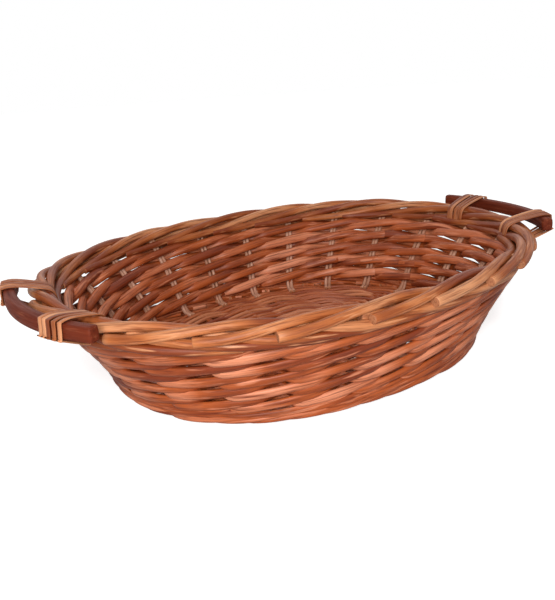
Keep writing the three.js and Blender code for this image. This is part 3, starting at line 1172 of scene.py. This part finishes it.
@dataclass
class WovenBase:
    """The base: sticks that cross under and over rings of thin rods, with fine rods round the edge."""

    form: OvalForm
    palette: Palette
    stick_diameter: float = 5.2 * MM
    stick_height: float = 4.4 * MM
    long_spacing: float = 34 * MM
    cross_spacing: float = 39.2 * MM
    long_sticks: int = 3
    cross_sticks: int = 7
    ring_diameter: float = 3.9 * MM
    ring_pitch: float = 4.0 * MM
    ring_rise: float = 2.1 * MM
    inset: float = -0.5 * MM
    stick_overrun: float = 1.5 * MM
    stick_steps: int = 12
    flatness: float = 0.95
    ring_overlap: float = 1.01
    widest_share: float = 0.97
    steps_per_crossing: int = 9
    fewest_steps: int = 40
    ring_butt_share: float = 1.05
    ring_taper: float = 0.1
    stick_sides: int = 10
    ring_sides: int = 8
    edge_sides: int = 10
    edge_low: float = 3.2 * MM
    edge_high: float = 8.0 * MM
    stick_drift: Drift = Drift(0.04, 50 * MM)
    ring_drift: Drift = Drift(0.4 * MM, 0.5)

    STICK_SEED = 31
    RING_SEED = 47
    EDGE_SEED = 78

    # A stick's seed grows by this much a metre from the middle
    SEED_PER_METRE = 90

    # Ranges of each stick's tone, and of each ring's tone and seed
    STICK_TONES = (0.2, 0.8)
    RING_TONES = (0.0, 1.0)
    RING_SEEDS = (0, 90)

    @staticmethod
    def _places(count: int, spacing: float) -> list[float]:
        """Where a number of evenly spaced sticks lie, either side of the middle."""
        return [(number - (count - 1) / 2) * spacing for number in range(count)]

    def _sticks(self) -> None:
        """Makes the grid of sticks."""
        strands = Strands("base_sticks_rods", BASE_FINISH, self.stick_sides)
        rng = random.Random(self.STICK_SEED)
        power = self.form.oval_power
        along_half = self.form.foot_half_length + self.stick_overrun
        across_half = self.form.foot_half_width + self.stick_overrun
        for ahead, count, spacing, run_half, other_half in (
            (Vector((0, 1, 0)), self.cross_sticks, self.cross_spacing, across_half, along_half),
            (Vector((1, 0, 0)), self.long_sticks, self.long_spacing, along_half, across_half),
        ):
            across = Vector((ahead.y, ahead.x, 0))
            for offset in self._places(count, spacing):
                distance = abs(offset) + self.stick_diameter / 2
                half = run_half * (1 - (distance / other_half) ** power) ** (1 / power)
                seed = offset * self.SEED_PER_METRE
                stops = []
                for step in range(self.stick_steps + 1):
                    along = half * (2 * step / self.stick_steps - 1)
                    place = ahead * along + across * offset
                    place.z = self.stick_height
                    size = self.stick_diameter * (1 + self.stick_drift.at(seed, along))
                    stops.append(Stop(place, across, size, size * self.flatness))
                strands.lay(stops, rng.uniform(*self.STICK_TONES))
        strands.finish_piece(self.palette, "base_sticks")

    def _crossings(self, half_length: float, half_width: float) -> list[float]:
        """Angles at which a ring crosses the sticks.

        Args:
            half_length: half the ring's length.
            half_width: half the ring's width.

        Returns:
            The angles in rising order.
        """
        angles = []
        for count, spacing, half, inverse, mirror in (
            (self.cross_sticks, self.cross_spacing, half_length, math.acos, FULL_TURN),
            (self.long_sticks, self.long_spacing, half_width, math.asin, math.pi),
        ):
            for place in self._places(count, spacing):
                share = place / half
                if abs(share) < self.widest_share:
                    angle = inverse(signed_power(share, self.form.oval_power / 2))
                    angles += [angle % FULL_TURN, mirror - angle]
        return sorted(angles)

    def _rings(self) -> None:
        """Makes the woven rings."""
        strands = Strands("base_weave_rods", BASE_FINISH, self.ring_sides)
        rng = random.Random(self.RING_SEED)
        first_shrink = self.inset + self.ring_diameter / 2
        for ring in range(int((self.form.foot_half_width - first_shrink) / self.ring_pitch)):
            shrink = first_shrink + ring * self.ring_pitch
            half_length = self.form.foot_half_length - shrink
            half_width = self.form.foot_half_width - shrink
            table = [
                (angle, 1.0 if (number + ring) % 2 else -1.0)
                for number, angle in enumerate(self._crossings(half_length, half_width))
            ]
            start, last = table[0], table[-1]
            steps = max(self.fewest_steps, self.steps_per_crossing * len(table))
            table = [(last[0] - FULL_TURN, last[1]), *table, (start[0] + FULL_TURN, start[1])]
            stops = []
            seed = rng.uniform(*self.RING_SEEDS)
            for step in range(steps + 1):
                angle = start[0] + FULL_TURN * self.ring_overlap * step / steps
                reading = angle if angle <= table[-1][0] else angle - FULL_TURN
                rise = smooth_value(table, reading)[0]
                place, outward = self.form.oval(angle, half_length, half_width)
                place += outward * self.ring_drift.at(seed, angle)
                place.z = self.stick_height + rise * self.ring_rise
                size = self.ring_diameter * (self.ring_butt_share - self.ring_taper * step / steps)
                stops.append(Stop(place, outward, size, size * self.flatness))
            strands.lay(stops, rng.uniform(*self.RING_TONES))
        strands.finish_piece(self.palette, "base_weave")

    def _edge(self) -> None:
        """Makes the fine rods round the edge."""
        strands = Strands("base_edge_rod_willow", WEAVER_FINISH, self.edge_sides)
        edge = FootStrokes(self.form, self.edge_low, self.edge_high)
        edge.lay_on(strands, random.Random(self.EDGE_SEED))
        strands.finish_piece(self.palette, "base_edge_rod")

    def build(self) -> None:
        """Makes the base."""
        self._sticks()
        self._rings()
        self._edge()


class End(Enum):
    """The two ends of the basket, each with its turn about the middle and how many stake pitches its
    handle stands back."""

    RIGHT = (0.0, 1)
    LEFT = (math.pi, 0)


@dataclass
class EarHandle:
    """A bent wooden bar that stands off the border, with its two lashings."""

    form: OvalForm
    palette: Palette
    end: End
    thickness: float = 9 * MM
    height: float = 11 * MM
    top_height: float = 94.6 * MM
    bend_radius: float = 165 * MM
    half_chord: float = 74 * MM
    slide: float = 8 * MM
    bar_steps: int = 40
    bar_sides: int = 24
    bar_squareness: float = 0.62
    bar_bevel: float = 1.6 * MM
    tone: float = 0.5
    hand_gap: float = 11 * MM
    border_radius: float = 7.4 * MM
    lashing_share: float = 0.95
    skein_width: float = 3.5 * MM
    skein_thickness: float = 1.2 * MM
    skein_pitch: float = 5.0 * MM
    skein_turns: int = 5
    skein_skew: float = 2.6 * MM
    skein_sides: int = 12
    skein_squareness: float = 0.6
    skein_bevel: float = 0.3 * MM
    skein_clearance: float = 0.4 * MM
    skein_corner: float = 1.3 * MM
    border_clearance: float = 1.0 * MM
    skein_wander: Drift = Drift(0.9 * MM, 0.8)
    skein_tone: Drift = Drift(0.9, 0.7, apart=3)
    steps_per_turn: int = 72
    outer_share: float = 0.35

    SEED = 40
    SIDE_SEED = 7

    # How far inwards the rim is looked for, and how often that range is halved
    RIM_REACH = 80 * MM
    HALVINGS = 30

    def __post_init__(self) -> None:
        """Places the bar's bend."""
        end_turn, pitches_back = self.end.value
        angle = self.form.angle_at_length(self.form.handle_offset - pitches_back * self.form.pitch)
        middle, outward = self.form.oval(angle, self.form.rim_half_length, self.form.rim_half_width)
        self.outward = outward
        self.along = Vector((-outward.y, outward.x, 0.0))
        reach = self.border_radius + self.hand_gap + self.thickness / 2
        self.centre = middle + outward * (reach - self.bend_radius)
        self.turn = Matrix.Rotation(end_turn, 3, "Z")

    def _bar_place(self, bend: float) -> tuple[Vector, Vector]:
        """A place on the bar's middle line, before the turn to its end of the basket.

        Args:
            bend: the angle round the bar's bend.

        Returns:
            The place, and the direction out of the bend.
        """
        side = self.outward * math.cos(bend) + self.along * math.sin(bend)
        place = self.centre + side * self.bend_radius
        place.z = self.top_height - self.height / 2
        return place, side

    def _bar(self, name: str) -> None:
        """Makes the bar.

        Args:
            name: the CAD node that it stands for.
        """
        strands = Strands(name + "_bar", HANDLE_FINISH, self.bar_sides)
        end_bend = math.asin(self.half_chord / self.bend_radius)
        stops = []
        for step in range(self.bar_steps + 1):
            bend = self.slide / self.bend_radius + end_bend * (2 * step / self.bar_steps - 1)
            place, side = self._bar_place(bend)
            stops.append(Stop(self.turn @ place, self.turn @ side, self.thickness, self.height))
        strands.lay(stops, self.tone, self.bar_squareness, self.bar_bevel, is_cut=False)
        strands.finish_piece(self.palette, name)

    def _distance_to_rim(self, place: Vector, side: Vector) -> float:
        """Distance from the bar's middle, inwards, to the rim's middle line."""
        near, far = 0.0, self.RIM_REACH
        for _ in range(self.HALVINGS):
            middle = (near + far) / 2
            point = place - side * middle
            level = (
                abs(point.x / self.form.rim_half_length) ** self.form.oval_power
                + abs(point.y / self.form.rim_half_width) ** self.form.oval_power
            )
            near, far = (middle, far) if level > 1 else (near, middle)
        return near

    def _wrap(self, place: Vector, side: Vector) -> list[tuple[float, float, float]]:
        """One turn of skein round bar and border, in the plane of the bar's section.

        Args:
            place: the bar's middle there.
            side: the direction out of the bend.

        Returns:
            Rows of turn share, distance out from the bar's middle and height, back to the first.
        """
        lift = self.skein_thickness / 2 + self.skein_clearance
        outer = self.thickness / 2 + lift
        rim = -self._distance_to_rim(place, side)
        round_reach = self.border_radius + self.border_clearance + lift
        middle = self.form.rim_height
        top = self.top_height + lift
        bottom = self.top_height - self.height - lift
        corner = self.skein_corner
        points = [
            (rim + 0.5 * MM, middle - round_reach),
            (rim + round_reach * 0.6, middle - round_reach + 0.2 * MM),
            (outer - corner, bottom + 0.1 * MM),
            (outer, bottom + corner),
            (outer + 0.1 * MM, (top + bottom) / 2),
            (outer, top - corner),
            (outer - corner, top),
            (corner - outer, top),
            (rim, middle + round_reach),
            (rim - round_reach * 0.85, middle + round_reach * 0.6),
            (rim - round_reach * 1.1, middle - 1.0 * MM),
            (rim - round_reach * 1.05, middle - round_reach * 0.6),
            (rim - round_reach * 0.55, middle - round_reach * 0.95),
        ]
        return [(number / len(points), *point) for number, point in enumerate([*points, points[0]])]

    def _lashing(self, name: str, side: int) -> None:
        """Makes one lashing.

        Args:
            name: the CAD node that it stands for.
            side: -1 or 1, its side of the handle's middle.
        """
        strands = Strands(name + "_skein", SKEIN_FINISH, self.skein_sides)
        middle = side * self.lashing_share * self.form.pitch / self.bend_radius
        seed = self.SEED + side * self.SIDE_SEED + self.end.value[0]
        stops = []
        for step in range(self.skein_turns * self.steps_per_turn + 1):
            turns = step / self.steps_per_turn
            slide = (turns - self.skein_turns / 2) * self.skein_pitch
            slide += self.skein_skew * math.cos(FULL_TURN * (turns - self.outer_share))
            slide += self.skein_wander.at(seed, turns)
            place, out = self._bar_place(middle + slide / self.bend_radius)
            share = (step % self.steps_per_turn) / self.steps_per_turn
            across, height = smooth_value(self._wrap(place, out), share)
            spot = place + out * across
            spot.z = height
            along = Vector((-out.y, out.x, 0.0))
            lighter = self.skein_tone.at(seed, turns)
            stops.append(
                Stop(self.turn @ spot, self.turn @ along, self.skein_width, self.skein_thickness, lighter)
            )
        strands.lay(stops, self.tone, self.skein_squareness, self.skein_bevel)
        strands.finish_piece(self.palette, name)

    def build(self) -> None:
        """Makes the bar and its lashings."""
        word = self.end.name.lower()
        self._bar(f"handle_{word}")
        self._lashing(f"lashing_{word}_first", -1)
        self._lashing(f"lashing_{word}_second", 1)


# Studio


@dataclass
class Studio:
    """Floor, soft light and the camera."""

    azimuth: float = -31.438
    elevation: float = 18.625
    roll: float = -3.868
    distance: float = 0.610535
    shift_right: float = -0.017369
    shift_up: float = 0.037386
    lens: float = 41.263
    sensor_width: float = 36.0
    nearest: float = 0.01
    floor_radius: float = 6.0
    floor_sides: int = 64
    paper: float = 0.7
    room_light: float = 0.22

    def _camera(self) -> None:
        """Makes the camera."""
        a, e, r = (math.radians(value) for value in (self.azimuth, self.elevation, self.roll))
        back = Vector((math.sin(a) * math.cos(e), -math.cos(a) * math.cos(e), math.sin(e)))
        level = Vector((math.cos(a), math.sin(a), 0.0))
        rise = back.cross(level)
        right = level * math.cos(r) + rise * math.sin(r)
        up = back.cross(right)
        data = bpy.data.cameras.new("camera")
        data.lens = self.lens
        data.sensor_width = self.sensor_width
        data.clip_start = self.nearest
        camera = add_object("camera", data)
        camera.rotation_mode = "QUATERNION"
        camera.rotation_quaternion = Matrix((right, up, back)).transposed().to_quaternion()
        camera.location = back * self.distance + right * self.shift_right + up * self.shift_up
        bpy.context.scene.camera = camera

    def _floor(self) -> None:
        """Makes the floor, which shows its shadow from above and nothing from below."""
        mesh = bmesh.new()
        bmesh.ops.create_circle(
            mesh, cap_ends=True, segments=self.floor_sides, radius=self.floor_radius
        )
        data = bpy.data.meshes.new("floor")
        mesh.to_mesh(data)
        mesh.free()
        floor = add_object("floor", data)
        material = bpy.data.materials.new("floor")
        painter = NodePainter.on(material)
        paper = painter.add("ShaderNodeBsdfDiffuse")
        painter.feed((self.paper,) * 3, paper.inputs[0])
        white = painter.add("ShaderNodeEmission")
        path = painter.add("ShaderNodeLightPath").outputs
        painter.feed(painter.sum("MULTIPLY", path["Is Camera Ray"], self.paper), white.inputs[1])
        plain = painter.add("ShaderNodeAddShader")
        painter.feed(paper.outputs[0], plain.inputs[0])
        painter.feed(white.outputs[0], plain.inputs[1])
        both = painter.add("ShaderNodeMixShader")
        painter.feed(painter.add("ShaderNodeNewGeometry").outputs["Backfacing"], both.inputs[0])
        painter.feed(plain.outputs[0], both.inputs[1])
        painter.feed(painter.add("ShaderNodeBsdfTransparent").outputs[0], both.inputs[2])
        painter.feed(both.outputs[0], painter.add("ShaderNodeOutputMaterial").inputs[0])
        data.materials.append(material)

    def _world(self) -> None:
        """Makes the even light of the room, white behind the object."""
        world = bpy.data.worlds.new("room")
        painter = NodePainter.on(world)
        both = painter.add("ShaderNodeMixShader")
        path = painter.add("ShaderNodeLightPath").outputs
        seen = painter.sum("MAXIMUM", path["Is Camera Ray"], path["Is Glossy Ray"])
        painter.feed(painter.sum("MAXIMUM", seen, path["Is Transmission Ray"]), both.inputs[0])
        for strength, target in ((self.room_light, both.inputs[1]), (1.0, both.inputs[2])):
            light = painter.add("ShaderNodeBackground")
            painter.feed((1.0, 1.0, 1.0), light.inputs[0])
            painter.feed(strength, light.inputs[1])
            painter.feed(light.outputs[0], target)
        painter.feed(both.outputs[0], painter.add("ShaderNodeOutputWorld").inputs[0])
        bpy.context.scene.world = world

    @staticmethod
    def _lamp(name: str, kind: str, strength: float, place: Triple) -> bpy.types.Light:
        """Makes one lamp that faces the basket.

        Args:
            name: the lamp's name.
            kind: SUN or AREA.
            strength: its strength, in watts for an area lamp.
            place: where it stands; only the direction of a sun counts.

        Returns:
            The lamp's data.
        """
        data = bpy.data.lights.new(name, kind)
        data.energy = strength
        lamp = add_object(name, data)
        lamp.rotation_mode = "QUATERNION"
        lamp.rotation_quaternion = Vector(place).to_track_quat("Z", "Y")
        lamp.location = place
        return data

    def build(self) -> None:
        """Makes the whole studio."""
        self._camera()
        self._floor()
        self._world()
        self._lamp("front lamp", "AREA", 4.1, (-0.46, -0.62, 0.34)).size = 0.2
        self._lamp("key lamp", "SUN", 0.75, (-0.55, -0.75, 0.8)).angle = math.radians(7.0)
        self._lamp("back lamp", "SUN", 0.6, (0.25, 0.6, 1.0)).angle = math.radians(40.0)
        bpy.context.scene.view_settings.view_transform = "Standard"


def main() -> None:
    """Builds the basket and its studio."""
    logging.basicConfig(level=logging.INFO, format="%(message)s")
    Studio().build()
    form = OvalForm()
    palette = Palette()
    Stakes(form, palette).build()
    WaleWall(form, palette).build()
    RolledBorder(form, palette).build()
    WovenBase(form, palette).build()
    for end in End:
        EarHandle(form, palette, end).build()


if __name__ == "__main__":
    main()
